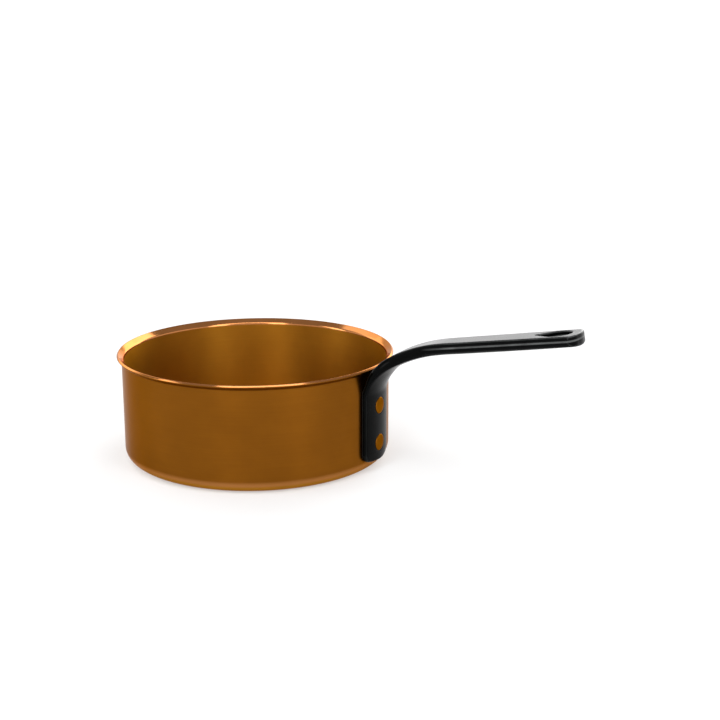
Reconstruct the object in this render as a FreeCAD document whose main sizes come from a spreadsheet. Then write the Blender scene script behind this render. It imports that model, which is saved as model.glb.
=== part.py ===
import FreeCAD, Part
import math
import os
import Sketcher

# Copper saucepan, millimetres. A spun copper pan with a flared lip carries a cast iron
# handle on two copper rivets. The origin is the centre of the base, +Z is up and the
# handle runs along +X.

DIMENSIONS = {
    "wall_radius": 100.0,        # outside of the straight wall
    "sheet": 2.0,                # copper sheet thickness
    "base_corner": 9.0,          # outside radius where base turns into wall
    "pan_height": 79.6,          # base to the top of the lip
    "lip_radius": 103.6,         # outermost edge of the flared lip
    "lip_slope": 38.0,           # flare above horizontal, degrees
    "lip_bend": 0.8,             # outside radius where wall turns into lip
    "lip_edge_round": 0.45,      # rounding of the cut edge of the lip
    "flange_bottom": 8.8,        # height of the lower end of the handle
    "flange_width": 32.9,
    "flange_depth": 5.1,         # handle thickness over the wall
    "flange_lead": 2.4,          # extra depth the wall cylinder is cut into
    "flange_corner": 6.5,        # rounding of the two lower corners
    "bend_start": 58.6,          # height where the handle leaves the wall
    "bend_radius": 36.0,         # first bend of the top face
    "shoulder_slope": 30.0,      # slope where the first bend ends, degrees
    "shoulder_radius": 116.5,    # second, gentle bend of the top face
    "strap_slope": 10.0,         # slope of the straight part, degrees
    "strap_length": 98.3,        # straight part up to the tip
    "neck_width": 22.0,          # narrowest width, at the shoulder
    "neck_depth": 9.2,
    "tip_width": 27.3,
    "tip_depth": 8.4,
    "tip_corner": 8.5,           # rounding of the two tip corners
    "eye_radius": 9.3,           # round end of the hanging hole
    "eye_from_tip": 15.4,        # tip to the centre of that round end
    "eye_point": 16.9,           # that centre to the pointed end
    "rivet_low": 21.8,           # heights of the two rivet axes
    "rivet_high": 49.7,
    "rivet_shank": 8.0,          # diameters
    "rivet_tail": 12.0,
    "rivet_head": 18.0,
    "rivet_head_height": 2.6,
    "rivet_sink": 2.4,           # depth of the countersink that holds the tail
    "rivet_crown": 0.35,         # how far the peened tail stands proud
}

# Sides of the cross-section at the flange and on the strap. ridge and edge are depths
# as shares of the full depth, the insets are millimetres in from the ridge.
FLANGE_SIDE = {"ridge": 0.23, "edge": 0.52, "top_inset": 0.3, "edge_inset": 0.7}
STRAP_SIDE = {"ridge": 0.44, "edge": 0.87, "top_inset": 0.9, "edge_inset": 1.8}

doc = FreeCAD.newDocument("Saucepan")
sheet = doc.addObject("Spreadsheet::Sheet", "Dims")
for row, (name, number) in enumerate(DIMENSIONS.items(), start=1):
    sheet.set(f"A{row}", name)
    sheet.set(f"B{row}", str(number))
    sheet.setAlias(f"B{row}", name)
doc.recompute()


class Size:
    """A number kept together with the sheet expression that drives it."""

    def __init__(self, value, text):
        self.value = value
        self.text = text

    def __add__(self, other):
        other = as_size(other)
        return Size(self.value + other.value, f"({self.text} + {other.text})")

    def __sub__(self, other):
        other = as_size(other)
        return Size(self.value - other.value, f"({self.text} - {other.text})")

    def __mul__(self, other):
        other = as_size(other)
        return Size(self.value * other.value, f"({self.text} * {other.text})")

    def __neg__(self):
        return self * -1


def as_size(number):
    return number if isinstance(number, Size) else Size(number, f"({number})")


def dim(name):
    return Size(DIMENSIONS[name], f"Dims.{name}")


def sine(angle):
    return Size(math.sin(math.radians(angle.value)), f"sin({angle.text})")


def cosine(angle):
    return Size(math.cos(math.radians(angle.value)), f"cos({angle.text})")


def mix(start, end, share):
    return start * (1 - share) + end * share


def new_body(name):
    body = doc.addObject("PartDesign::Body", name)
    body.Label = name
    return body


def new_sketch(body, name, plane):
    """Sketch on one of the body's origin planes, by the plane's role."""
    sketch = body.newObject("Sketcher::SketchObject", name)
    role = next(item for item in body.Origin.OriginFeatures if item.Role == plane)
    sketch.AttachmentSupport = [(role, "")]
    sketch.MapMode = "FlatFace"
    return sketch


def drive(sketch, kind, *target, size):
    """Add a dimension and tie it to the sheet."""
    index = sketch.addConstraint(Sketcher.Constraint(kind, *target, size.value))
    sketch.setExpression(f"Constraints[{index}]", size.text)


def pin(sketch, geometry, end, across, up):
    """Fix one end of an element at a driven position from the sketch origin."""
    drive(sketch, "DistanceX", -1, 1, geometry, end, size=as_size(across))
    drive(sketch, "DistanceY", -1, 1, geometry, end, size=as_size(up))


def relate(sketch, kind, *target):
    sketch.addConstraint(Sketcher.Constraint(kind, *target))


def vector(across, up):
    return FreeCAD.Vector(as_size(across).value, as_size(up).value, 0)


def line(sketch, start, end):
    return sketch.addGeometry(Part.LineSegment(start, end))


def arc(sketch, start, middle, end):
    """Arc through three points; returns its index and which of its ends come first."""
    counterclockwise = (middle - start).cross(end - middle).z > 0
    if counterclockwise:
        return sketch.addGeometry(Part.Arc(start, middle, end)), (1, 2)
    return sketch.addGeometry(Part.Arc(end, middle, start)), (2, 1)


def arc_middle(start, end, radius):
    """Middle of an arc: positive radii bulge left of start to end, negative ones right."""
    chord = end - start
    half = chord.Length / 2
    rise = abs(radius) - math.sqrt(max(0.0, radius * radius - half * half))
    side = FreeCAD.Vector(-chord.y, chord.x, 0).normalize()
    return (start + end) * 0.5 + side * math.copysign(rise, radius)


def closed_outline(sketch, points, radii):
    """Closed outline through driven points.

    points: (across, up) of every corner, in order.
    radii: for the stretch leaving each corner, None for a straight line or the radius
    of an arc. A positive radius bulges to the left of the direction of travel, a
    negative one to the right.
    """
    corners = [vector(*point) for point in points]
    ends = []
    for number, radius in enumerate(radii):
        start = corners[number]
        end = corners[(number + 1) % len(corners)]
        if radius is None:
            ends.append((line(sketch, start, end), (1, 2)))
        else:
            middle = arc_middle(start, end, as_size(radius).value)
            ends.append(arc(sketch, start, middle, end))
    for number, (index, order) in enumerate(ends):
        following, next_order = ends[(number + 1) % len(ends)]
        relate(sketch, "Coincident", index, order[1], following, next_order[0])
        pin(sketch, index, order[0], *points[number])
        if radii[number] is not None:
            size = as_size(radii[number])
            drive(sketch, "Radius", index, size=size if size.value > 0 else -size)


def feature(body, kind, name, sketch, **settings):
    item = body.newObject(f"PartDesign::{kind}", name)
    item.Profile = sketch
    for key, value in settings.items():
        setattr(item, key, value)
    doc.recompute()
    return item


def circles_near(shape, radius, height):
    """Names of the horizontal circular edges close to a radius and a height."""
    found = []
    for number, edge in enumerate(shape.Edges, start=1):
        if not isinstance(edge.Curve, Part.Circle) or abs(edge.Curve.Axis.z) < 0.99:
            continue
        if abs(edge.Curve.Radius - radius) < 0.3 and abs(edge.Curve.Center.z - height) < 0.3:
            found.append(f"Edge{number}")
    return found


# ---- pan body: one sheet of copper, drawn into a pan and flared at the lip ----

def pan_profile(body):
    """Half section of the sheet, revolved about the pan axis."""
    radius, thick = dim("wall_radius"), dim("sheet")
    corner, bend = dim("base_corner"), dim("lip_bend")
    slope = math.radians(DIMENSIONS["lip_slope"])
    along = FreeCAD.Vector(math.cos(slope), math.sin(slope), 0)
    normal = FreeCAD.Vector(-along.y, along.x, 0)
    outer_tip_x = DIMENSIONS["lip_radius"]
    outer_tip_z = DIMENSIONS["pan_height"] - normal.y * thick.value
    outer_tip = FreeCAD.Vector(outer_tip_x, outer_tip_z, 0)
    bend_x = radius.value + bend.value
    bend_to_line = (bend_x - outer_tip.x + normal.x * bend.value) / along.x
    bend_z = outer_tip.y + along.y * bend_to_line - normal.y * bend.value
    bend_centre = FreeCAD.Vector(bend_x, bend_z, 0)
    corner_centre = vector(radius - corner, corner)

    def around(centre, size, degrees):
        angle = math.radians(degrees)
        return centre + FreeCAD.Vector(math.cos(angle), math.sin(angle), 0) * size

    lip_end = 90 + DIMENSIONS["lip_slope"]
    lip_middle = (180 + lip_end) / 2
    outer, inner = bend.value, bend.value + thick.value
    big, small = corner.value, corner.value - thick.value
    sketch = new_sketch(body, "PanProfile", "XZ_Plane")
    base_out = line(sketch, vector(0, 0), around(corner_centre, big, -90))
    corner_out = arc(sketch, *(around(corner_centre, big, a) for a in (-90, -45, 0)))
    wall_out = line(sketch, around(corner_centre, big, 0), around(bend_centre, outer, 180))
    bend_out = arc(sketch, *(around(bend_centre, outer, a) for a in (180, lip_middle, lip_end)))
    flare_out = line(sketch, around(bend_centre, outer, lip_end), outer_tip)
    edge = line(sketch, outer_tip, outer_tip + normal * thick.value)
    flare_in = line(sketch, outer_tip + normal * thick.value, around(bend_centre, inner, lip_end))
    bend_in = arc(sketch, *(around(bend_centre, inner, a) for a in (lip_end, lip_middle, 180)))
    wall_in = line(sketch, around(bend_centre, inner, 180), around(corner_centre, small, 0))
    corner_in = arc(sketch, *(around(corner_centre, small, a) for a in (0, -45, -90)))
    base_in = line(sketch, around(corner_centre, small, -90), vector(0, thick))
    axis = line(sketch, vector(0, thick), vector(0, 0))

    tangent_joints = [
        ((base_out, 2), (corner_out[0], corner_out[1][0])),
        ((corner_out[0], corner_out[1][1]), (wall_out, 1)),
        ((wall_out, 2), (bend_out[0], bend_out[1][0])),
        ((bend_out[0], bend_out[1][1]), (flare_out, 1)),
        ((flare_in, 2), (bend_in[0], bend_in[1][0])),
        ((bend_in[0], bend_in[1][1]), (wall_in, 1)),
        ((wall_in, 2), (corner_in[0], corner_in[1][0])),
        ((corner_in[0], corner_in[1][1]), (base_in, 1)),
    ]
    for first, second in tangent_joints:
        relate(sketch, "Tangent", *first, *second)
    for first, second in [(flare_out, edge), (edge, flare_in), (base_in, axis), (axis, base_out)]:
        relate(sketch, "Coincident", first, 2, second, 1)
    relate(sketch, "Coincident", base_out, 1, -1, 1)
    relate(sketch, "Coincident", corner_out[0], 3, corner_in[0], 3)
    relate(sketch, "Coincident", bend_out[0], 3, bend_in[0], 3)
    for level in (base_out, base_in):
        relate(sketch, "Horizontal", level)
    for upright in (wall_out, wall_in, axis):
        relate(sketch, "Vertical", upright)
    relate(sketch, "Parallel", flare_out, flare_in)
    relate(sketch, "Perpendicular", flare_out, edge)

    drive(sketch, "DistanceX", -1, 1, wall_out, 1, size=radius)
    drive(sketch, "DistanceY", -1, 1, base_in, 2, size=thick)
    drive(sketch, "Radius", corner_out[0], size=corner)
    drive(sketch, "Radius", bend_out[0], size=bend)
    drive(sketch, "DistanceX", -1, 1, flare_out, 2, size=dim("lip_radius"))
    drive(sketch, "DistanceY", -1, 1, edge, 2, size=dim("pan_height"))
    index = sketch.addConstraint(Sketcher.Constraint("Angle", flare_out, slope))
    sketch.setExpression(f"Constraints[{index}]", "Dims.lip_slope * 1 deg")
    return sketch


def build_pan():
    body = new_body("pan_body")
    profile = pan_profile(body)
    shell = feature(body, "Revolution", "PanShell", profile, ReferenceAxis=(profile, ["V_Axis"]))
    edges = circles_near(shell.Shape, DIMENSIONS["lip_radius"], 78.0)
    edges += circles_near(shell.Shape, DIMENSIONS["lip_radius"] - 1.23, DIMENSIONS["pan_height"])
    rounding = body.newObject("PartDesign::Fillet", "LipEdgeRound")
    rounding.Base = (shell, edges)
    rounding.setExpression("Radius", "Dims.lip_edge_round")
    doc.recompute()

    holes = new_sketch(body, "RivetHoles", "YZ_Plane")
    for height in ("rivet_low", "rivet_high"):
        centre = vector(0, dim(height))
        radius = DIMENSIONS["rivet_shank"] / 2
        ring = holes.addGeometry(Part.Circle(centre, FreeCAD.Vector(0, 0, 1), radius))
        relate(holes, "PointOnObject", ring, 3, -2)
        drive(holes, "DistanceY", -1, 1, ring, 3, size=dim(height))
        drive(holes, "Diameter", ring, size=dim("rivet_shank"))
    pocket = feature(body, "Pocket", "WallHoles", holes, Reversed=True)
    pocket.setExpression("Length", "Dims.lip_radius")
    doc.recompute()
    return body


# ---- handle: a cast iron strap that lies against the wall, bends out and widens ----

def path_point(stage, where):
    """Point of the handle's top face and its slope there, in the XZ plane.

    stage "wall": where = height. "bend" and "shoulder": where = slope in degrees.
    "strap": where = share of the straight length.
    """
    bend, shoulder = dim("bend_radius"), dim("shoulder_radius")
    if stage == "wall":
        return dim("wall_radius"), as_size(where), as_size(90.0)
    if stage == "bend":
        slope = as_size(where)
        across = dim("wall_radius") + bend * (as_size(1.0) - sine(slope))
        return across, dim("bend_start") + bend * cosine(slope), slope
    across, up, start_slope = path_point("bend", dim("shoulder_slope"))
    slope = as_size(where) if stage == "shoulder" else dim("strap_slope")
    across = across + shoulder * (sine(start_slope) - sine(slope))
    up = up + shoulder * (cosine(slope) - cosine(start_slope))
    if stage == "strap":
        length = dim("strap_length") * where
        across = across + length * cosine(slope)
        up = up + length * sine(slope)
    return across, up, slope


def handle_section(body, name, place, shares, inset=0.0):
    """Cross-section at one station: flat top, two sides meeting at a ridge, round belly.

    shares: how far width, depth and side shape have gone from the flange (0) to the
    strap's neck (1), then how far width and depth have gone from the neck to the tip.
    inset narrows both sides.
    """
    across, up, slope = place
    to_neck_width, to_neck_depth, to_strap_side, to_tip_width, to_tip_depth = shares
    width = mix(dim("flange_width"), dim("neck_width"), to_neck_width)
    width = width + (dim("tip_width") - dim("neck_width")) * to_tip_width
    depth = mix(dim("flange_depth"), dim("neck_depth"), to_neck_depth)
    depth = depth + (dim("tip_depth") - dim("neck_depth")) * to_tip_depth
    side = {key: FLANGE_SIDE[key] * (1 - to_strap_side) + STRAP_SIDE[key] * to_strap_side
            for key in FLANGE_SIDE}
    half = width * 0.5 - inset
    # Only the flange reaches into the wall, where fit_to_wall hollows it out again.
    lead = dim("flange_lead") * (1 - min(1.0, to_neck_depth * 3))
    top_x = half - side["top_inset"]
    edge_x = half - side["edge_inset"]
    ridge_y = -depth * side["ridge"]
    edge_y = -depth * side["edge"]
    crown = depth.value + edge_y.value
    belly = (edge_x.value ** 2 + crown ** 2) / (2 * crown)

    sketch = new_sketch(body, name, "YZ_Plane")
    tilt = FreeCAD.Rotation(FreeCAD.Vector(1, 0, 0), -slope.value)
    sketch.AttachmentOffset = FreeCAD.Placement(FreeCAD.Vector(0, up.value, across.value), tilt)
    sketch.setExpression("AttachmentOffset.Base.y", up.text)
    sketch.setExpression("AttachmentOffset.Base.z", across.text)
    points = [
        (top_x, lead), (half, ridge_y), (edge_x, edge_y),
        (-edge_x, edge_y), (-half, ridge_y), (-top_x, lead),
    ]
    radii = [14.0, 9.0, belly, 9.0, 14.0, None]
    closed_outline(sketch, points, radii)
    return sketch


# Shares of handle_section on the flange, then up the handle from the end of the wall.
CORNER_STEPS = (60.0, 30.0, 0.0)     # down round the lower corners, degrees
FLANGE = (0.0, 0.0, 0.0, 0.0, 0.0)
STATIONS = [
    ("bend", 90.0, FLANGE),
    ("bend", 82.5, (-0.01, 0.18, 0.05, 0.0, 0.0)),
    ("bend", 75.0, (-0.04, 0.41, 0.16, 0.0, 0.0)),
    ("bend", 67.5, (-0.07, 0.61, 0.32, 0.0, 0.0)),
    ("bend", 60.0, (-0.05, 0.75, 0.50, 0.0, 0.0)),
    ("bend", 52.5, (0.04, 0.81, 0.68, 0.0, 0.0)),
    ("bend", 45.0, (0.22, 0.84, 0.84, 0.0, 0.0)),
    ("bend", 37.5, (0.54, 0.86, 0.94, 0.0, 0.0)),
    ("bend", 30.0, (0.82, 0.88, 1.0, 0.0, 0.0)),
    ("shoulder", 23.5, (0.96, 0.94, 1.0, 0.0, 0.0)),
    ("shoulder", 17.0, (1.0, 0.98, 1.0, 0.0, 0.0)),
]
STATIONS += [("strap", step / 8, (1.0, 1.0, 1.0, step / 8, (step / 8) ** 3))
             for step in range(8)]
STATIONS += [("strap", 1.02, (1.0, 1.0, 1.0, 1.0, 1.0))]


def fit_to_wall(body):
    """Hollow the back of the flange to the wall cylinder."""
    sketch = new_sketch(body, "WallFit", "XZ_Plane")
    low, high = as_size(0.0), dim("pan_height")
    near, far = as_size(-60.0), -dim("wall_radius")
    closed_outline(sketch, [(near, low), (near, high), (far, high), (far, low)], [None] * 4)
    feature(body, "Groove", "WallSeat", sketch, ReferenceAxis=(sketch, ["V_Axis"]))


def strap_sketch(body, name):
    """Sketch in the top face of the strap: across runs along the strap from the shoulder."""
    across, up, slope = path_point("strap", 0.0)
    sketch = new_sketch(body, name, "XY_Plane")
    tilt = FreeCAD.Rotation(FreeCAD.Vector(0, 1, 0), -slope.value)
    sketch.AttachmentOffset = FreeCAD.Placement(FreeCAD.Vector(across.value, 0, up.value), tilt)
    sketch.setExpression("AttachmentOffset.Base.x", across.text)
    sketch.setExpression("AttachmentOffset.Base.z", up.text)
    return sketch


def round_tip(body):
    """Trim the end of the strap to a blunt tip with rounded corners."""
    sketch = strap_sketch(body, "TipOutline")
    half = dim("tip_width") * 0.5 + 0.4
    corner, end = dim("tip_corner"), dim("strap_length")
    inner = half - corner
    bulge = dim("tip_width")
    points = [
        (end - corner, half), (end, inner), (end, -inner), (end - corner, -half),
        (end - corner, -half - 5), (end + 8, -half - 5), (end + 8, half + 5),
        (end - corner, half + 5),
    ]
    radii = [corner, bulge, corner, None, None, None, None, None]
    closed_outline(sketch, points, radii)
    feature(body, "Pocket", "TipTrim", sketch, Type="ThroughAll", SideType="Symmetric")


def cut_eye(body):
    """Teardrop hanging hole, pointed towards the pan."""
    sketch = strap_sketch(body, "EyeOutline")
    radius, point = dim("eye_radius"), dim("eye_point")
    centre = dim("strap_length") - dim("eye_from_tip")
    lean = math.acos(radius.value / point.value)
    apex = vector(centre - point, 0)
    middle = vector(centre, 0)
    touch = [FreeCAD.Vector(-math.cos(lean), side * math.sin(lean), 0) * radius.value + middle
             for side in (1, -1)]
    far = middle + FreeCAD.Vector(radius.value, 0, 0)
    upper = line(sketch, apex, touch[0])
    lower = line(sketch, touch[1], apex)
    cap, order = arc(sketch, touch[0], far, touch[1])
    relate(sketch, "Tangent", upper, 2, cap, order[0])
    relate(sketch, "Tangent", cap, order[1], lower, 1)
    relate(sketch, "Coincident", lower, 2, upper, 1)
    relate(sketch, "PointOnObject", cap, 3, -1)
    relate(sketch, "PointOnObject", upper, 1, -1)
    drive(sketch, "Radius", cap, size=radius)
    drive(sketch, "DistanceX", -1, 1, cap, 3, size=centre)
    drive(sketch, "DistanceX", upper, 1, cap, 3, size=point)
    feature(body, "Pocket", "Eye", sketch, Type="ThroughAll", SideType="Symmetric")


def stem_profile(body, name, height, start):
    """Half section of a rivet stem or of its seat: shank, countersink and flush tail."""
    sketch = new_sketch(body, name, "XZ_Plane")
    shank, tail = dim("rivet_shank") * 0.5, dim("rivet_tail") * 0.5
    face = dim("wall_radius") + dim("flange_depth")
    neck = face - dim("rivet_sink")
    height = dim(height)
    points = [
        (start, height), (start, height + shank), (neck, height + shank),
        (face, height + tail), (face + dim("rivet_crown"), height),
    ]
    crown, half = DIMENSIONS["rivet_crown"], tail.value
    dome = (half * half + crown * crown) / (2 * crown)
    closed_outline(sketch, points, [None, None, None, dome, None])
    axis = line(sketch, vector(start, height), vector(face, height))
    sketch.toggleConstruction(axis)
    pin(sketch, axis, 1, start, height)
    pin(sketch, axis, 2, face, height)
    return sketch


def turn(body, kind, name, sketch):
    """Revolve a profile about the construction line it carries."""
    return feature(body, kind, name, sketch, ReferenceAxis=(sketch, ["Axis0"]))


def build_handle():
    body = new_body("handle")
    corner = dim("flange_corner")
    corner_top = dim("flange_bottom") + corner
    flange = handle_section(body, "FlangeSection", path_point("wall", corner_top), FLANGE)
    lower = []
    for number, step in enumerate(CORNER_STEPS, start=1):
        turned = as_size(step)
        height = dim("flange_bottom") + corner * (as_size(1.0) - cosine(turned))
        inset = corner * (as_size(1.0) - sine(turned))
        place = path_point("wall", height)
        lower.append(handle_section(body, f"Corner{number}", place, FLANGE, inset))
    upper = []
    for number, (stage, where, shares) in enumerate(STATIONS, start=1):
        upper.append(handle_section(body, f"Section{number}", path_point(stage, where), shares))
    doc.recompute()
    plate = feature(body, "Pad", "FlangePlate", flange)
    plate.setExpression("Length", (dim("bend_start") - corner_top).text)
    doc.recompute()
    feature(body, "AdditiveLoft", "Strap", upper[0], Sections=upper[1:])
    feature(body, "AdditiveLoft", "FlangeEnd", flange, Sections=lower)
    fit_to_wall(body)
    round_tip(body)
    cut_eye(body)
    for name, height in RIVETS.items():
        seat = stem_profile(body, f"Seat_{name}", height, as_size(90.0))
        turn(body, "Groove", f"SeatCut_{name}", seat)
    return body


# ---- rivets: domed head inside the pan, shank, tail peened into the countersink ----

def build_rivet(name, height):
    body = new_body(name)
    head = new_sketch(body, "HeadProfile", "XZ_Plane")
    inside = dim("wall_radius") - dim("sheet")
    top = inside - dim("rivet_head_height")
    rim = inside - 0.9
    half = dim("rivet_head") * 0.5
    level = dim(height)
    rise = DIMENSIONS["rivet_head_height"] - 0.9
    dome = (half.value ** 2 + rise ** 2) / (2 * rise)
    points = [(top, level), (rim, level + half), (inside, level + half), (inside, level)]
    closed_outline(head, points, [dome, None, None, None])
    axis = line(head, vector(top, level), vector(inside, level))
    head.toggleConstruction(axis)
    pin(head, axis, 1, top, level)
    pin(head, axis, 2, inside, level)
    turn(body, "Revolution", "Head", head)

    seat = new_sketch(body, "HeadSeat", "XZ_Plane")
    far = inside + 5
    points = [(inside, level - half - 2), (inside, level + half + 2),
              (far, level + half + 2), (far, level - half - 2)]
    closed_outline(seat, points, [None] * 4)
    feature(body, "Groove", "HeadFit", seat, ReferenceAxis=(seat, ["V_Axis"]))

    turn(body, "Revolution", "Stem", stem_profile(body, "StemProfile", height, inside - 1))
    return body


RIVETS = {"rivet_lower": "rivet_low", "rivet_upper": "rivet_high"}

bodies = [build_pan(), build_handle()]
bodies += [build_rivet(name, height) for name, height in RIVETS.items()]
doc.recompute()

for item in doc.Objects:
    if {"Invalid", "Error"} & set(item.State):
        raise RuntimeError(f"{item.Name} failed: {item.State}")
for body in bodies:
    if body.Shape.isNull() or not body.Shape.isValid():
        raise RuntimeError(f"{body.Label} has no valid shape")

os.makedirs("parts", exist_ok=True)
for body in bodies:
    body.Shape.exportStep(f"parts/{body.Label}.step")
    print(body.Label, round(body.Shape.Volume), body.Shape.optimalBoundingBox())
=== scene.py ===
import math

import bmesh
import bpy
from mathutils import Matrix, Vector


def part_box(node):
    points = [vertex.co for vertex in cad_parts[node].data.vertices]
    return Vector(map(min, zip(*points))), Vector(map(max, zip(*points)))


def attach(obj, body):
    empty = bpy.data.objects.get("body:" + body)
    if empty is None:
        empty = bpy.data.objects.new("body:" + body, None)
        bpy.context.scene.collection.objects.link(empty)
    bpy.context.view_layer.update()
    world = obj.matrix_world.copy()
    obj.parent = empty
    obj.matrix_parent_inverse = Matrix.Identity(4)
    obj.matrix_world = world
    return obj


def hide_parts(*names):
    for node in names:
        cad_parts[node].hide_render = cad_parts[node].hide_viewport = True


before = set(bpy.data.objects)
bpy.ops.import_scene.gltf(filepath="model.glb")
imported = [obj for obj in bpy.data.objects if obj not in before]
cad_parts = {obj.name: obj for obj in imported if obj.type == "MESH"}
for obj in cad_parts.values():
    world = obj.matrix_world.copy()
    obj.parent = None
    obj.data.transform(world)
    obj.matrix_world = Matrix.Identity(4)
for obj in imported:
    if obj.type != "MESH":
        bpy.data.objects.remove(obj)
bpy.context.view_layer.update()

MM = 0.001

# The pan's section, in millimetres, on the same numbers as the CAD solid.
WALL_RADIUS = 100.0
SHEET = 2.0
BASE_CORNER = 9.0
PAN_HEIGHT = 79.6
LIP_RADIUS = 103.6
LIP_SLOPE = math.radians(38.0)
LIP_BEND = 0.8
LIP_EDGE_ROUND = 0.45

# Where the lip's underside lies along the lip's own normal, in metres, and the two heights
# between which the lip's colour, lighter than the wall's and part rubbed bright, part painted
# highlight, takes over.
LIP_UNDERSIDE = (PAN_HEIGHT * math.cos(LIP_SLOPE) - SHEET * math.cos(LIP_SLOPE) ** 2
                 - LIP_RADIUS * math.sin(LIP_SLOPE)) * MM
LIP_STARTS = (0.0746, 0.0754)

# Radii and heights between which the inside's colour fades in, and the heights between which
# the lighter low band, a painted highlight for the bright floor the base corner reflects, fades in,
# all in metres.
INSIDE_RADII = (0.0994, 0.0986)
INSIDE_HEIGHTS = (0.0008, 0.0014)
LOW_BAND_HIGHLIGHT_HEIGHTS = (0.0092, 0.0066)

# Rivets, in millimetres.
RIVET_SHANK = 8.0
RIVET_TAIL = 12.0
RIVET_HEAD = 18.0
RIVET_HEAD_HEIGHT = 2.6
RIVET_HEAD_EDGE = 0.9
RIVET_HEAD_BACK = 0.5
RIVET_HEAD_RING = 2.0
RIVET_SINK = 2.4
RIVET_CROWN = 0.35
FLANGE_DEPTH = 5.1

# Top face of the strap: its slope, its height along its own normal, the depth below it that the
# painted highlight lines are laid out over, and the stretch of X over which they fade in, in
# metres.
STRAP_SLOPE = math.radians(10.0)
STRAP_TOP = 0.074948
STRAP_HIGHLIGHT_DEPTH = 0.010
STRAP_STARTS = (0.142, 0.165)

# Rounding of the casting: voxel in metres, and passes of smoothing.
CAST_VOXEL = 0.0005
CAST_SMOOTHING = 12

# Camera: the handle's turn from it, its distance and height about the pan axis, where it points
# in radians, and its lens and sensor in millimetres.
HANDLE_TURN = math.radians(32.7)
CAMERA_DISTANCE = 0.952056
CAMERA_HEIGHT = 0.321110
CAMERA_YAW = 0.0823830
CAMERA_PITCH = 0.2582954
LENS = 65.0
SENSOR = 36.0

# Backdrop, in metres: flat floor out to FLOOR_REACH, a round of CURVE_RADIUS, then a wall.
FLOOR_REACH = 3.0
FLOOR_RINGS = 12
CURVE_RADIUS = 2.0
WALL_TOP = 2.6
BACKDROP_SIDES = 96
BACKDROP_GLOW = (0.42, 0.80)
GLOW_REACH = (1.2, 3.2)
FLOOR_GAP = 0.0003


# ---------------------------------------------------------------- materials

def new_material(name):
    material = bpy.data.materials.new(name)
    material.use_nodes = True
    tree = material.node_tree
    tree.nodes.clear()
    output = tree.nodes.new("ShaderNodeOutputMaterial")
    shader = tree.nodes.new("ShaderNodeBsdfPrincipled")
    tree.links.new(shader.outputs["BSDF"], output.inputs["Surface"])
    return material, tree, shader


def node(tree, kind, **settings):
    item = tree.nodes.new(kind)
    for key, value in settings.items():
        if key in item.inputs:
            item.inputs[key].default_value = value
        else:
            setattr(item, key, value)
    return item


def noise(tree, vector, scale, detail=4.0, roughness=0.55):
    item = node(tree, "ShaderNodeTexNoise", Scale=scale, Detail=detail, Roughness=roughness)
    tree.links.new(vector, item.inputs["Vector"])
    return item.outputs["Fac"]


def stretch(tree, vector, scale):
    item = node(tree, "ShaderNodeMapping")
    item.inputs["Scale"].default_value = scale
    tree.links.new(vector, item.inputs["Vector"])
    return item.outputs["Vector"]


def ramp(tree, factor, stops):
    item = node(tree, "ShaderNodeValToRGB")
    elements = item.color_ramp.elements
    while len(elements) < len(stops):
        elements.new(0.5)
    for element, (position, colour) in zip(elements, stops):
        element.position = position
        element.color = colour if len(colour) == 4 else (*colour, 1.0)
    tree.links.new(factor, item.inputs["Fac"])
    return item.outputs["Color"]


def span(tree, factor, low, high):
    """Map a 0..1 value onto low..high."""
    item = node(tree, "ShaderNodeMapRange")
    item.inputs["To Min"].default_value = low
    item.inputs["To Max"].default_value = high
    tree.links.new(factor, item.inputs["Value"])
    return item.outputs["Result"]


def blend(tree, share, first, second, data_type="FLOAT"):
    """Mix two values or two colours, by a fixed share or by a 0..1 value."""
    item = node(tree, "ShaderNodeMix", data_type=data_type)
    slots = {"FLOAT": (2, 3, 0), "RGBA": (6, 7, 2)}[data_type]
    if isinstance(share, float):
        item.inputs[0].default_value = share
    else:
        tree.links.new(share, item.inputs[0])
    tree.links.new(first, item.inputs[slots[0]])
    tree.links.new(second, item.inputs[slots[1]])
    return item.outputs[slots[2]]


def bump(tree, shader, layers):
    """Chain of bump nodes: (height, strength, distance) from coarse to fine."""
    normal = None
    for height, strength, distance in layers:
        item = node(tree, "ShaderNodeBump", Strength=strength, Distance=distance)
        tree.links.new(height, item.inputs["Height"])
        if normal is not None:
            tree.links.new(normal, item.inputs["Normal"])
        normal = item.outputs["Normal"]
    tree.links.new(normal, shader.inputs["Normal"])


def cylindrical(tree):
    """Turning coordinates about the pan axis: angle, radius and height, in metres."""
    position = node(tree, "ShaderNodeTexCoord").outputs["Object"]
    split = node(tree, "ShaderNodeSeparateXYZ")
    tree.links.new(position, split.inputs[0])
    angle = node(tree, "ShaderNodeMath", operation="ARCTAN2")
    tree.links.new(split.outputs["Y"], angle.inputs[0])
    tree.links.new(split.outputs["X"], angle.inputs[1])
    flat = node(tree, "ShaderNodeCombineXYZ")
    tree.links.new(split.outputs["X"], flat.inputs["X"])
    tree.links.new(split.outputs["Y"], flat.inputs["Y"])
    radius = node(tree, "ShaderNodeVectorMath", operation="LENGTH")
    tree.links.new(flat.outputs[0], radius.inputs[0])
    join = node(tree, "ShaderNodeCombineXYZ")
    tree.links.new(angle.outputs[0], join.inputs["X"])
    tree.links.new(radius.outputs["Value"], join.inputs["Y"])
    tree.links.new(split.outputs["Z"], join.inputs["Z"])
    return join.outputs[0], position


def step_up(tree, value, low, high):
    """0 at low, 1 at high and clamped, whichever of the two is larger."""
    item = node(tree, "ShaderNodeMapRange")
    item.inputs["From Min"].default_value = low
    item.inputs["From Max"].default_value = high
    tree.links.new(value, item.inputs["Value"])
    return item.outputs["Result"]


def product(tree, *values):
    result = values[0]
    for value in values[1:]:
        item = node(tree, "ShaderNodeMath", operation="MULTIPLY")
        tree.links.new(result, item.inputs[0])
        tree.links.new(value, item.inputs[1])
        result = item.outputs[0]
    return result


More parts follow.
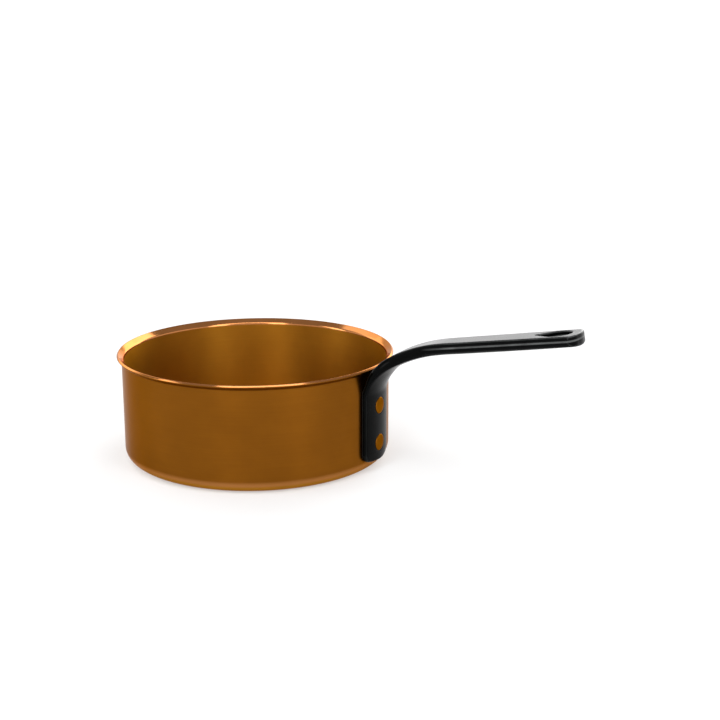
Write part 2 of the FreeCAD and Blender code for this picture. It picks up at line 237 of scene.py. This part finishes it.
def copper_material():
    """Brown copper with a thin clear coat, brushed round the pan: grooves circle the axis, so
    the gloss stretches across them, up the walls and out along the base."""
    material, tree, shader = new_material("pan_copper")
    turning, position = cylindrical(tree)
    shader.inputs["Metallic"].default_value = 1.0
    shader.inputs["Specular Tint"].default_value = (0.75, 0.56, 0.45, 1.0)
    shader.inputs["Anisotropic"].default_value = 0.65
    shader.inputs["Anisotropic Rotation"].default_value = 0.25
    shader.inputs["Coat Weight"].default_value = 0.04
    shader.inputs["Coat Roughness"].default_value = 0.08
    tangent = node(tree, "ShaderNodeTangent", direction_type="RADIAL", axis="Z")
    tree.links.new(tangent.outputs[0], shader.inputs["Tangent"])
    brushing = noise(tree, stretch(tree, turning, (2.0, 900.0, 900.0)), 1.0, 4.0)
    fine = noise(tree, stretch(tree, turning, (6.0, 5000.0, 5000.0)), 1.0, 2.0)
    cloud = noise(tree, position, 26.0, 6.0)
    split = node(tree, "ShaderNodeSeparateXYZ")
    tree.links.new(turning, split.inputs[0])
    radius, height = split.outputs["Y"], split.outputs["Z"]
    inside = product(tree, step_up(tree, radius, *INSIDE_RADII),
                     step_up(tree, height, *INSIDE_HEIGHTS))
    through = node(tree, "ShaderNodeVectorMath", operation="DOT_PRODUCT")
    tree.links.new(turning, through.inputs[0])
    through.inputs[1].default_value = (0.0, -math.sin(LIP_SLOPE), math.cos(LIP_SLOPE))
    # Lip mask: the rim gets a lighter, glossier colour, part rubbed bright and part painted
    # highlight.
    lip = product(tree, step_up(tree, height, *LIP_STARTS),
                  step_up(tree, through.outputs["Value"], LIP_UNDERSIDE + 0.0003,
                          LIP_UNDERSIDE + 0.0007))
    # Low band: painted highlight, a lighter colour on the base corner for the bright floor it
    # reflects.
    low_band_highlight = step_up(tree, height, *LOW_BAND_HIGHLIGHT_HEIGHTS)
    tint = blend(tree, 0.30, cloud, brushing)
    outer = ramp(tree, tint, [
        (0.34, (0.166, 0.0560, 0.0034)),
        (0.66, (0.200, 0.0680, 0.0044)),
    ])
    inner = ramp(tree, tint, [
        (0.34, (0.335, 0.144, 0.0120)),
        (0.66, (0.390, 0.168, 0.0150)),
    ])
    # Rim colour: rubbed bright copper with a painted highlight on top.
    rubbed_and_highlight = ramp(tree, tint, [
        (0.34, (0.39, 0.150, 0.044)),
        (0.66, (0.48, 0.192, 0.066)),
    ])
    # Painted highlight colour for the low band on the base corner.
    low_band_colour = ramp(tree, tint, [
        (0.34, (0.34, 0.135, 0.030)),
        (0.66, (0.40, 0.165, 0.045)),
    ])
    colour = blend(tree, low_band_highlight, outer, low_band_colour, "RGBA")
    colour = blend(tree, inside, colour, inner, "RGBA")
    tree.links.new(blend(tree, lip, colour, rubbed_and_highlight, "RGBA"), shader.inputs["Base Color"])
    gloss = blend(tree, 0.45, cloud, fine)
    satin = blend(tree, inside, span(tree, gloss, 0.27, 0.40), span(tree, gloss, 0.40, 0.50))
    satin = blend(tree, lip, satin, span(tree, gloss, 0.10, 0.20))
    tree.links.new(satin, shader.inputs["Roughness"])
    bump(tree, shader, [
        (noise(tree, position, 16.0, 2.0), 0.06, 0.0006),
        (brushing, 0.05, 0.00005),
        (fine, 0.06, 0.00003),
    ])
    return material


def rivet_material():
    """The same copper, peened: no brushing, fine dimples from the set."""
    material, tree, shader = new_material("rivet_copper")
    position = node(tree, "ShaderNodeTexCoord").outputs["Object"]
    shader.inputs["Metallic"].default_value = 1.0
    shader.inputs["Specular Tint"].default_value = (0.75, 0.56, 0.45, 1.0)
    cloud = noise(tree, position, 220.0, 4.0)
    colour = ramp(tree, cloud, [
        (0.30, (0.150, 0.052, 0.0036)),
        (0.75, (0.215, 0.076, 0.0060)),
    ])
    tree.links.new(colour, shader.inputs["Base Color"])
    tree.links.new(span(tree, cloud, 0.24, 0.40), shader.inputs["Roughness"])
    bump(tree, shader, [
        (noise(tree, position, 420.0, 2.0), 0.25, 0.0002),
        (noise(tree, position, 2500.0, 2.0), 0.10, 0.00004),
    ])
    return material


def iron_material():
    """Smooth black casting with faint orange peel, edges painted lighter, part wear and part
    painted highlight, and painted highlight lines along the sides of the strap."""
    material, tree, shader = new_material("handle_iron")
    position = node(tree, "ShaderNodeTexCoord").outputs["Object"]
    cloud = noise(tree, position, 70.0, 5.0)
    grain = noise(tree, position, 1500.0, 3.0)
    edges = node(tree, "ShaderNodeNewGeometry").outputs["Pointiness"]
    # Edges lighter by pointiness: part rubbed wear, part painted highlight lines along the edges.
    edge_wear_and_highlight = ramp(tree, edges, [(0.512, (0.0, 0.0, 0.0)), (0.560, (1.0, 1.0, 1.0))])
    base = ramp(tree, cloud, [
        (0.35, (0.0002, 0.0003, 0.0003)),
        (0.75, (0.0007, 0.0010, 0.0010)),
    ])
    down = node(tree, "ShaderNodeVectorMath", operation="DOT_PRODUCT")
    tree.links.new(position, down.inputs[0])
    down.inputs[1].default_value = (-math.sin(STRAP_SLOPE), 0.0, math.cos(STRAP_SLOPE))
    below_top = step_up(tree, down.outputs["Value"], STRAP_TOP, STRAP_TOP - STRAP_HIGHLIGHT_DEPTH)
    # Painted highlight lines at set depths below the strap's top: the near top edge, the mid-side
    # ridge and the lower bevel catching the light.
    highlight_lines = ramp(tree, below_top, [
        (0.030, (0.0, 0.0, 0.0)), (0.055, (0.5, 0.5, 0.5)), (0.090, (0.0, 0.0, 0.0)),
        (0.260, (0.0, 0.0, 0.0)), (0.315, (0.9, 0.9, 0.9)), (0.375, (0.9, 0.9, 0.9)),
        (0.430, (0.0, 0.0, 0.0)), (0.640, (0.0, 0.0, 0.0)), (0.780, (0.5, 0.5, 0.5)),
    ])
    split = node(tree, "ShaderNodeSeparateXYZ")
    tree.links.new(position, split.inputs[0])
    on_strap = step_up(tree, split.outputs["X"], *STRAP_STARTS)
    highlight_lines = product(tree, highlight_lines, on_strap, span(tree, cloud, 0.6, 1.0))
    edge_wear_and_highlight = product(tree, edge_wear_and_highlight, span(tree, on_strap, 0.4, 1.0))
    most = node(tree, "ShaderNodeMath", operation="MAXIMUM")
    tree.links.new(edge_wear_and_highlight, most.inputs[0])
    tree.links.new(highlight_lines, most.inputs[1])
    edge_wear_and_highlight = most.outputs[0]
    # Grey of the painted highlight lines and of the rubbed edges.
    rubbed_and_highlight = ramp(tree, cloud, [(0.3, (0.07, 0.073, 0.073)), (0.7, (0.12, 0.125, 0.125))])
    tree.links.new(blend(tree, edge_wear_and_highlight, base, rubbed_and_highlight, "RGBA"), shader.inputs["Base Color"])
    shader.inputs["Specular IOR Level"].default_value = 0.045
    tree.links.new(span(tree, cloud, 0.16, 0.22), shader.inputs["Roughness"])
    bump(tree, shader, [
        (noise(tree, position, 140.0, 3.0), 0.04, 0.0004),
        (grain, 0.05, 0.00005),
    ])
    return material


# ---------------------------------------------------------------- shapes

def arc_points(centre, radius, start, end, steps):
    return [(centre[0] + radius * math.cos(start + (end - start) * k / steps),
             centre[1] + radius * math.sin(start + (end - start) * k / steps))
            for k in range(steps + 1)]


def line_points(start, end, steps):
    return [(start[0] + (end[0] - start[0]) * k / steps, start[1] + (end[1] - start[1]) * k / steps)
            for k in range(1, steps)]


def pan_outline():
    """Half section of the sheet, from the centre of the base outside to the centre inside."""
    along = (math.cos(LIP_SLOPE), math.sin(LIP_SLOPE))
    normal = (-along[1], along[0])
    tip = (LIP_RADIUS, PAN_HEIGHT - normal[1] * SHEET)
    bend_x = WALL_RADIUS + LIP_BEND
    run = (tip[0] - normal[0] * LIP_BEND - bend_x) / along[0]
    bend = (bend_x, tip[1] - along[1] * run - normal[1] * LIP_BEND)
    corner = (WALL_RADIUS - BASE_CORNER, BASE_CORNER)
    lip_end = math.pi / 2 + LIP_SLOPE
    inner_tip = (tip[0] + normal[0] * SHEET, tip[1] + normal[1] * SHEET)

    def rounded(point, before, after):
        """Small round over one corner of the cut edge."""
        r = LIP_EDGE_ROUND
        first = (point[0] + before[0] * r, point[1] + before[1] * r)
        centre = (first[0] + after[0] * r, first[1] + after[1] * r)
        start = math.atan2(first[1] - centre[1], first[0] - centre[0])
        return arc_points(centre, r, start, start + math.pi / 2, 6)

    outline = [(0.0, 0.0)]
    outline += line_points((0.0, 0.0), (corner[0], 0.0), 14)
    outline += arc_points(corner, BASE_CORNER, -math.pi / 2, 0.0, 20)
    outline += line_points((WALL_RADIUS, BASE_CORNER), (WALL_RADIUS, bend[1]), 40)
    outline += arc_points(bend, LIP_BEND, math.pi, lip_end, 6)
    back = (-along[0], -along[1])
    outline += rounded(tip, back, normal)
    outline += rounded(inner_tip, (-normal[0], -normal[1]), back)
    outline += arc_points(bend, LIP_BEND + SHEET, lip_end, math.pi, 12)
    inside = WALL_RADIUS - SHEET
    outline += line_points((inside, bend[1]), (inside, BASE_CORNER), 40)
    outline += arc_points(corner, BASE_CORNER - SHEET, 0.0, -math.pi / 2, 16)
    outline += line_points((corner[0], SHEET), (0.0, SHEET), 14)
    outline.append((0.0, SHEET))
    return outline


def lathe(name, outline, segments, place=None):
    """Closed solid of revolution about local Z from (radius, height) points in millimetres."""
    mesh = bmesh.new()
    rings = []
    for radius, height in outline:
        if radius < 1e-6:
            rings.append([mesh.verts.new((0, 0, height * MM))])
            continue
        ring = []
        for k in range(segments):
            angle = 2 * math.pi * k / segments
            ring.append(mesh.verts.new((radius * math.cos(angle) * MM,
                                        radius * math.sin(angle) * MM, height * MM)))
        rings.append(ring)
    for low, high in zip(rings, rings[1:]):
        for k in range(segments):
            n = (k + 1) % segments
            if len(low) == 1:
                mesh.faces.new((low[0], high[n], high[k]))
            elif len(high) == 1:
                mesh.faces.new((low[k], low[n], high[0]))
            else:
                mesh.faces.new((low[k], low[n], high[n], high[k]))
    if place is not None:
        mesh.transform(place)
    bmesh.ops.recalc_face_normals(mesh, faces=mesh.faces)
    data = bpy.data.meshes.new(name)
    mesh.to_mesh(data)
    mesh.free()
    data.polygons.foreach_set("use_smooth", [True] * len(data.polygons))
    piece = bpy.data.objects.new(name, data)
    bpy.context.scene.collection.objects.link(piece)
    return piece


def rivet_outline():
    """Half section along the rivet, measured from the pan axis: head, shank, tail."""
    inside = WALL_RADIUS - SHEET
    top = inside - RIVET_HEAD_HEIGHT
    half = RIVET_HEAD / 2
    rise = RIVET_HEAD_HEIGHT - RIVET_HEAD_EDGE
    dome = (half * half + rise * rise) / (2 * rise)
    outline = [(0.0, top)]
    for k in range(1, 15):
        r = half * k / 14
        outline.append((r, top + dome - math.sqrt(dome * dome - r * r)))
    outline += [(half, inside - RIVET_HEAD_BACK), (half, inside)]
    shank, tail = RIVET_SHANK / 2, RIVET_TAIL / 2
    face = WALL_RADIUS + FLANGE_DEPTH
    outline += [(half - RIVET_HEAD_RING, inside), (shank, inside)]
    outline += [(shank, face - RIVET_SINK), (tail, face)]
    for k in range(1, 11):
        r = tail * (1 - k / 10)
        outline.append((r, face + RIVET_CROWN * (1 - (r / tail) ** 2)))
    return outline


def show(piece, material, replaced):
    """Give a piece its material and let it stand for a CAD node."""
    piece.data.materials.append(material)
    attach(piece, "root")
    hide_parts(replaced)


def seat_head(piece):
    """Bend the back of the rivet's head onto the round inside of the wall."""
    inside = (WALL_RADIUS - SHEET) * MM
    for vertex in piece.data.vertices:
        if abs(vertex.co.x - inside) < (RIVET_HEAD_BACK + 0.1) * MM:
            vertex.co.x -= inside - math.sqrt(inside * inside - vertex.co.y ** 2)


def build_rivet(name, material):
    low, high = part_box(name)
    height = (low.z + high.z) / 2
    along_x = Matrix.Translation((0, 0, height)) @ Matrix.Rotation(math.pi / 2, 4, "Y")
    piece = lathe(name + "_turned", rivet_outline(), 72, along_x)
    seat_head(piece)
    show(piece, material, name)


def dress_handle(handle, material):
    """Round the casting's edges and colour it, on the CAD node itself."""
    handle.data.materials.clear()
    handle.data.materials.append(material)
    remesh = handle.modifiers.new("cast_skin", "REMESH")
    remesh.mode = "VOXEL"
    remesh.voxel_size = CAST_VOXEL
    remesh.use_smooth_shade = True
    soften = handle.modifiers.new("cast_edges", "SMOOTH")
    soften.factor = 0.5
    soften.iterations = CAST_SMOOTHING


show(lathe("pan", pan_outline(), 480), copper_material(), "pan_body")

rivet_copper = rivet_material()
for rivet in ("rivet_lower", "rivet_upper"):
    build_rivet(rivet, rivet_copper)

dress_handle(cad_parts["handle"], iron_material())


# ---------------------------------------------------------------- studio

def turned(x, y, z):
    """A point given in the camera's own compass, turned into the row frame."""
    return Matrix.Rotation(HANDLE_TURN, 4, "Z") @ Vector((x, y, z))


def softbox(name, place, target, size, power):
    data = bpy.data.lights.new(name, "AREA")
    data.shape = "RECTANGLE"
    data.size, data.size_y = size
    data.energy = power
    lamp = bpy.data.objects.new(name, data)
    bpy.context.scene.collection.objects.link(lamp)
    lamp.location = turned(*place)
    aim = turned(*target) - lamp.location
    lamp.rotation_euler = aim.to_track_quat("-Z", "Y").to_euler()
    lamp.visible_camera = False


def backdrop():
    """Pale floor that curves up into a wall far away all round, with no edge in view."""
    mesh = bmesh.new()
    spacing = FLOOR_REACH / FLOOR_RINGS
    profile = [(spacing * k, 0.0) for k in range(FLOOR_RINGS + 1)]
    profile += arc_points((FLOOR_REACH, CURVE_RADIUS), CURVE_RADIUS, -math.pi / 2, 0.0, 24)[1:]
    profile.append((FLOOR_REACH + CURVE_RADIUS, WALL_TOP))
    rings = []
    step = 2 * math.pi / BACKDROP_SIDES
    for radius, height in profile:
        count = BACKDROP_SIDES if radius > 0 else 1
        rings.append([mesh.verts.new((radius * math.cos(step * k), radius * math.sin(step * k),
                                      height)) for k in range(count)])
    for low, high in zip(rings, rings[1:]):
        for k in range(BACKDROP_SIDES):
            n = (k + 1) % BACKDROP_SIDES
            if len(low) == 1:
                mesh.faces.new((low[0], high[k], high[n]))
            else:
                mesh.faces.new((low[k], high[k], high[n], low[n]))
    data = bpy.data.meshes.new("backdrop")
    mesh.to_mesh(data)
    mesh.free()
    data.polygons.foreach_set("use_smooth", [True] * len(data.polygons))
    piece = bpy.data.objects.new("backdrop", data)
    bpy.context.scene.collection.objects.link(piece)
    material, tree, shader = new_material("backdrop_white")
    shader.inputs["Base Color"].default_value = (0.50, 0.50, 0.50, 1.0)
    shader.inputs["Roughness"].default_value = 0.9
    shader.inputs["Emission Color"].default_value = (1.0, 1.0, 1.0, 1.0)
    position = node(tree, "ShaderNodeTexCoord").outputs["Object"]
    reach = node(tree, "ShaderNodeVectorMath", operation="LENGTH")
    tree.links.new(position, reach.inputs[0])
    glow = node(tree, "ShaderNodeMapRange", interpolation_type="SMOOTHSTEP")
    glow.inputs["From Min"].default_value, glow.inputs["From Max"].default_value = GLOW_REACH
    glow.inputs["To Min"].default_value, glow.inputs["To Max"].default_value = BACKDROP_GLOW
    tree.links.new(reach.outputs["Value"], glow.inputs["Value"])
    tree.links.new(glow.outputs["Result"], shader.inputs["Emission Strength"])
    shader.inputs["Specular IOR Level"].default_value = 0.0
    piece.data.materials.append(material)
    piece.location.z = -FLOOR_GAP
    return piece


backdrop()

world = bpy.data.worlds.new("studio")
bpy.context.scene.world = world
world.use_nodes = True
background = world.node_tree.nodes["Background"]
background.inputs["Color"].default_value = (1.0, 1.0, 1.0, 1.0)
background.inputs["Strength"].default_value = 0.5


def compass(azimuth, elevation, distance):
    """A point about the pan by its bearing from the camera's side, right positive, degrees."""
    azimuth, elevation = math.radians(azimuth), math.radians(elevation)
    return (distance * math.cos(elevation) * math.sin(azimuth),
            -distance * math.cos(elevation) * math.cos(azimuth),
            distance * math.sin(elevation))


# name, bearing, elevation, distance, size, brightness
SOFTBOXES = [
    ("back_right", 144.0, 23.0, 2.8, (1.9, 2.0), 4.5),
    ("back_left", -140.0, 29.0, 2.8, (1.8, 2.3), 2.0),
    ("back_centre", 172.0, 8.0, 2.8, (0.9, 0.7), 1.1),
    ("strip_right", 36.0, 28.0, 1.5, (0.45, 1.0), 3.6),
    ("strip_centre", -22.0, 30.0, 1.5, (0.40, 1.0), 3.6),
    ("strip_left", -84.0, 26.0, 1.5, (0.42, 1.0), 3.6),
    ("rim_light", 5.0, 60.0, 1.4, (1.3, 0.35), 4.0),
]
for name, bearing, elevation, distance, size, brightness in SOFTBOXES:
    softbox(name, compass(bearing, elevation, distance), (0, 0, 0.05), size,
            brightness * math.pi * size[0] * size[1])

camera_data = bpy.data.cameras.new("camera")
camera = bpy.data.objects.new("camera", camera_data)
bpy.context.scene.collection.objects.link(camera)
camera_data.sensor_width = SENSOR
camera_data.lens = LENS
camera.location = turned(0.0, -CAMERA_DISTANCE, CAMERA_HEIGHT)
gaze = turned(math.sin(CAMERA_YAW) * math.cos(CAMERA_PITCH),
              math.cos(CAMERA_YAW) * math.cos(CAMERA_PITCH), -math.sin(CAMERA_PITCH))
camera.rotation_euler = gaze.to_track_quat("-Z", "Y").to_euler()
bpy.context.scene.camera = camera
bpy.context.scene.view_settings.view_transform = "Standard"
